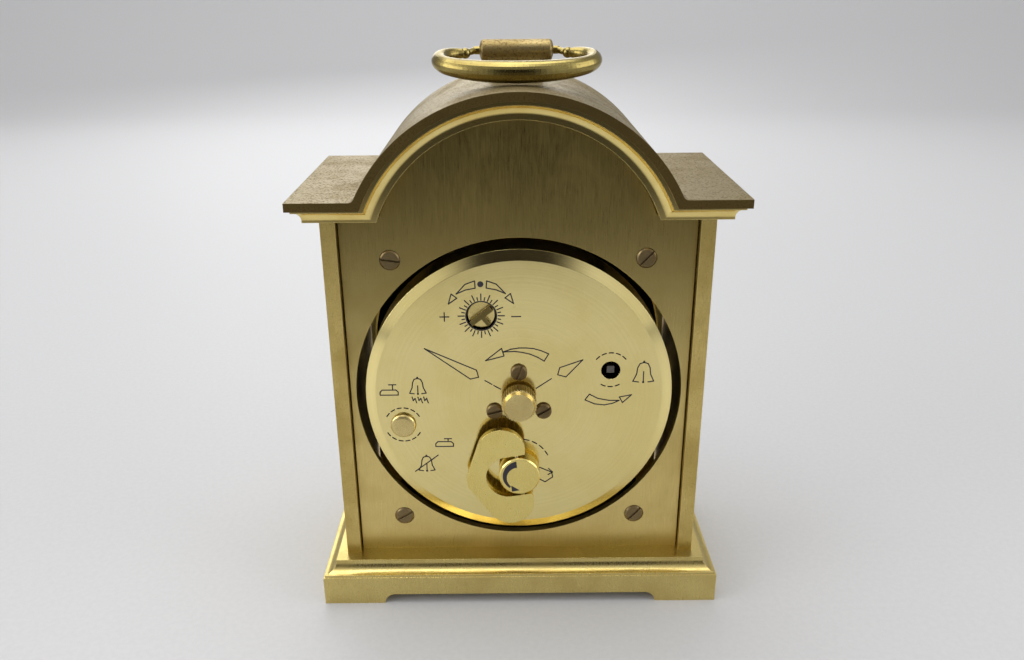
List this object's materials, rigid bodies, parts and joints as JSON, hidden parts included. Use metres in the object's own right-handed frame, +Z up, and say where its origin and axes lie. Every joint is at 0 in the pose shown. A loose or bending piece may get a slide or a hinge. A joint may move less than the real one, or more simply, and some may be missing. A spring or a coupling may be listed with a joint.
{
  "type": "travel alarm clock",
  "caption": "Small brass bracket-style alarm clock with an arched top, moulded cornice and plinth, folding carrying handle, and a round movement wound and set from behind.",
  "frame": {"origin": "centre of the plinth's underside", "axes": "+Z up; the dial faces -Y; the movement cover, key and knob face +Y; +X is to the right seen from the dial side"},
  "size_m": [0.0874, 0.0472, 0.1178],
  "materials": {
    "satin_brass": "vertical brushed satin brass",
    "polished_brass": "polished lacquered brass",
    "aged_brass": "speckled aged brass",
    "dull_bronze": "dull bronze",
    "steel": "plain steel",
    "blued_steel": "blued steel",
    "movement_brass": "fine brushed movement brass",
    "dial_ivory": "matt ivory with a printed hour ring",
    "glass": "clear mineral glass"
  },
  "bodies": {
    "case": {"plinth": "satin_brass", "plinth_screws": "steel", "side_panel_left": "satin_brass", "side_panel_right": "satin_brass", "front_panel": "satin_brass", "rear_panel": "satin_brass", "rear_panel_screws": "dull_bronze", "case_pillars": "dull_bronze", "cornice_moulding": "polished_brass", "roof_plate": "aged_brass", "handle_post": "aged_brass", "handle_screws": "steel", "bezel": "polished_brass", "crystal": "glass", "dial": "dial_ivory", "movement_case": "steel", "movement_clamps": "steel", "clamp_screws": "steel", "movement_cover": "polished_brass", "cover_screws": "dull_bronze", "front_plate": "movement_brass", "rear_plate": "movement_brass", "plate_pillars": "movement_brass", "plate_screws": "blued_steel", "balance_cock": "movement_brass", "cock_screws": "blued_steel"},
    "handle": {"handle_bail": "polished_brass"},
    "key": {"winding_key_barrel": "polished_brass", "key_hinge_pin": "steel"},
    "key_wing": {"winding_key_wing": "polished_brass"},
    "hand_setting": {"centre_arbor": "steel", "hand_set_knob": "polished_brass", "minute_hand": "blued_steel"},
    "minute_work": {"minute_wheel": "movement_brass"},
    "hour_work": {"hour_wheel": "movement_brass", "hour_hand": "blued_steel"},
    "alarm_indicator": {"alarm_wheel": "movement_brass", "alarm_hand": "polished_brass"},
    "alarm_setting": {"alarm_set_arbor": "steel"},
    "alarm_stop": {"alarm_button": "polished_brass"},
    "regulator": {"regulator_index": "polished_brass"},
    "going_drum": {"going_barrel": "movement_brass", "going_mainspring": "steel"},
    "going_ratchet": {"going_ratchet_arbor": "steel"},
    "alarm_drum": {"alarm_barrel": "movement_brass", "alarm_mainspring": "steel"},
    "alarm_ratchet": {"alarm_ratchet_arbor": "steel"},
    "click": {"winding_click": "steel"},
    "intermediate": {"intermediate_wheel": "movement_brass"},
    "centre": {"centre_wheel": "movement_brass"},
    "third": {"third_wheel": "movement_brass"},
    "fourth": {"fourth_wheel": "movement_brass"},
    "escape": {"escape_wheel": "movement_brass"},
    "pallet": {"pallet_lever": "steel"},
    "balance": {"balance_wheel": "movement_brass", "hairspring": "blued_steel"},
    "alarm_star": {"alarm_star_wheel": "movement_brass"},
    "hammer": {"alarm_hammer": "steel"}
  },
  "joints": [
    {"name": "handle_swing", "type": "hinge", "parent": "case", "child": "handle", "pos_m": [0, 0, 0.1157], "axis": [1, 0, 0], "range_deg": [0, 204]},
    {"name": "key_turn", "type": "hinge", "parent": "case", "child": "key", "pos_m": [0, 0, 0.0314], "axis": [0, 1, 0], "continuous": true},
    {"name": "key_wing_fold", "type": "hinge", "parent": "key", "child": "key_wing", "pos_m": [0, 0.0214, 0.0314], "axis": [0.1547, 0, 0.988], "range_deg": [0, 180]},
    {"name": "hand_set", "type": "hinge", "parent": "case", "child": "hand_setting", "pos_m": [0, 0, 0.0478], "axis": [0, 1, 0], "continuous": true},
    {"name": "minute_wheel_turn", "type": "hinge", "parent": "case", "child": "minute_work", "pos_m": [-0.00677, 0, 0.04534], "axis": [0, 1, 0], "continuous": true},
    {"name": "hour_hand_turn", "type": "hinge", "parent": "case", "child": "hour_work", "pos_m": [0, 0, 0.0478], "axis": [0, 1, 0], "continuous": true},
    {"name": "alarm_hand_turn", "type": "hinge", "parent": "case", "child": "alarm_indicator", "pos_m": [0, 0, 0.0478], "axis": [0, 1, 0], "continuous": true},
    {"name": "alarm_arbor_turn", "type": "hinge", "parent": "case", "child": "alarm_setting", "pos_m": [-0.0189, 0, 0.0539], "axis": [0, 1, 0], "continuous": true},
    {"name": "alarm_button_pull", "type": "slide", "parent": "case", "child": "alarm_stop", "axis": [0, 1, 0], "range_m": [0, 0.0018]},
    {"name": "regulator_swing", "type": "hinge", "parent": "case", "child": "regulator", "pos_m": [0.0075, 0, 0.0661], "axis": [0, 1, 0], "range_deg": [-25, 25]},
    {"name": "centre_wheel_turn", "type": "hinge", "parent": "case", "child": "centre", "pos_m": [0, 0, 0.0478], "axis": [0, 1, 0], "continuous": true},
    {"name": "intermediate_turn", "type": "hinge", "parent": "case", "child": "intermediate", "pos_m": [-0.0095, 0, 0.04442], "axis": [0, 1, 0], "continuous": true},
    {"name": "going_drum_turn", "type": "hinge", "parent": "case", "child": "going_drum", "pos_m": [-0.012, 0, 0.0333], "axis": [0, 1, 0], "continuous": true},
    {"name": "third_turn", "type": "hinge", "parent": "case", "child": "third", "pos_m": [-0.00308, 0, 0.05626], "axis": [0, 1, 0], "continuous": true},
    {"name": "fourth_turn", "type": "hinge", "parent": "case", "child": "fourth", "pos_m": [-0.01047, 0, 0.05824], "axis": [0, 1, 0], "continuous": true},
    {"name": "escape_turn", "type": "hinge", "parent": "case", "child": "escape", "pos_m": [-0.00732, 0, 0.06369], "axis": [0, 1, 0], "continuous": true},
    {"name": "pallet_rock", "type": "hinge", "parent": "case", "child": "pallet", "pos_m": [-0.0022, 0, 0.06597], "axis": [0, 1, 0], "range_deg": [-3, 3]},
    {"name": "balance_swing", "type": "hinge", "parent": "case", "child": "balance", "pos_m": [0.0075, 0, 0.0661], "axis": [0, 1, 0], "range_deg": [-150, 150]},
    {"name": "alarm_drum_turn", "type": "hinge", "parent": "case", "child": "alarm_drum", "pos_m": [0.012, 0, 0.0333], "axis": [0, 1, 0], "continuous": true},
    {"name": "alarm_star_turn", "type": "hinge", "parent": "case", "child": "alarm_star", "pos_m": [0.01755, 0, 0.04291], "axis": [0, 1, 0], "continuous": true},
    {"name": "hammer_rock", "type": "hinge", "parent": "case", "child": "hammer", "pos_m": [0.0195, 0, 0.0498], "axis": [0, 1, 0], "range_deg": [-4, 4]},
    {"name": "going_winding", "type": "hinge", "parent": "case", "child": "going_ratchet", "pos_m": [-0.012, 0, 0.0333], "axis": [0, 1, 0], "continuous": true},
    {"name": "alarm_winding", "type": "hinge", "parent": "case", "child": "alarm_ratchet", "pos_m": [0.012, 0, 0.0333], "axis": [0, 1, 0], "continuous": true},
    {"name": "click_lift", "type": "hinge", "parent": "case", "child": "click", "pos_m": [0.005, 0, 0.0225], "axis": [0, 1, 0], "range_deg": [-4, 4]}
  ],
  "couplings": [
    {"joint": "minute_wheel_turn", "follows": "hand_set", "ratio": -0.33333},
    {"joint": "hour_hand_turn", "follows": "hand_set", "ratio": 0.083333},
    {"joint": "alarm_arbor_turn", "follows": "alarm_hand_turn", "ratio": -3},
    {"joint": "intermediate_turn", "follows": "centre_wheel_turn", "ratio": -0.16667},
    {"joint": "going_drum_turn", "follows": "centre_wheel_turn", "ratio": 0.03125},
    {"joint": "third_turn", "follows": "centre_wheel_turn", "ratio": -8},
    {"joint": "fourth_turn", "follows": "centre_wheel_turn", "ratio": 60},
    {"joint": "escape_turn", "follows": "centre_wheel_turn", "ratio": -480},
    {"joint": "alarm_star_turn", "follows": "alarm_drum_turn", "ratio": -6.4},
    {"joint": "going_winding", "follows": "key_turn", "ratio": -0.42857},
    {"joint": "alarm_winding", "follows": "key_turn", "ratio": -0.42857}
  ]
}
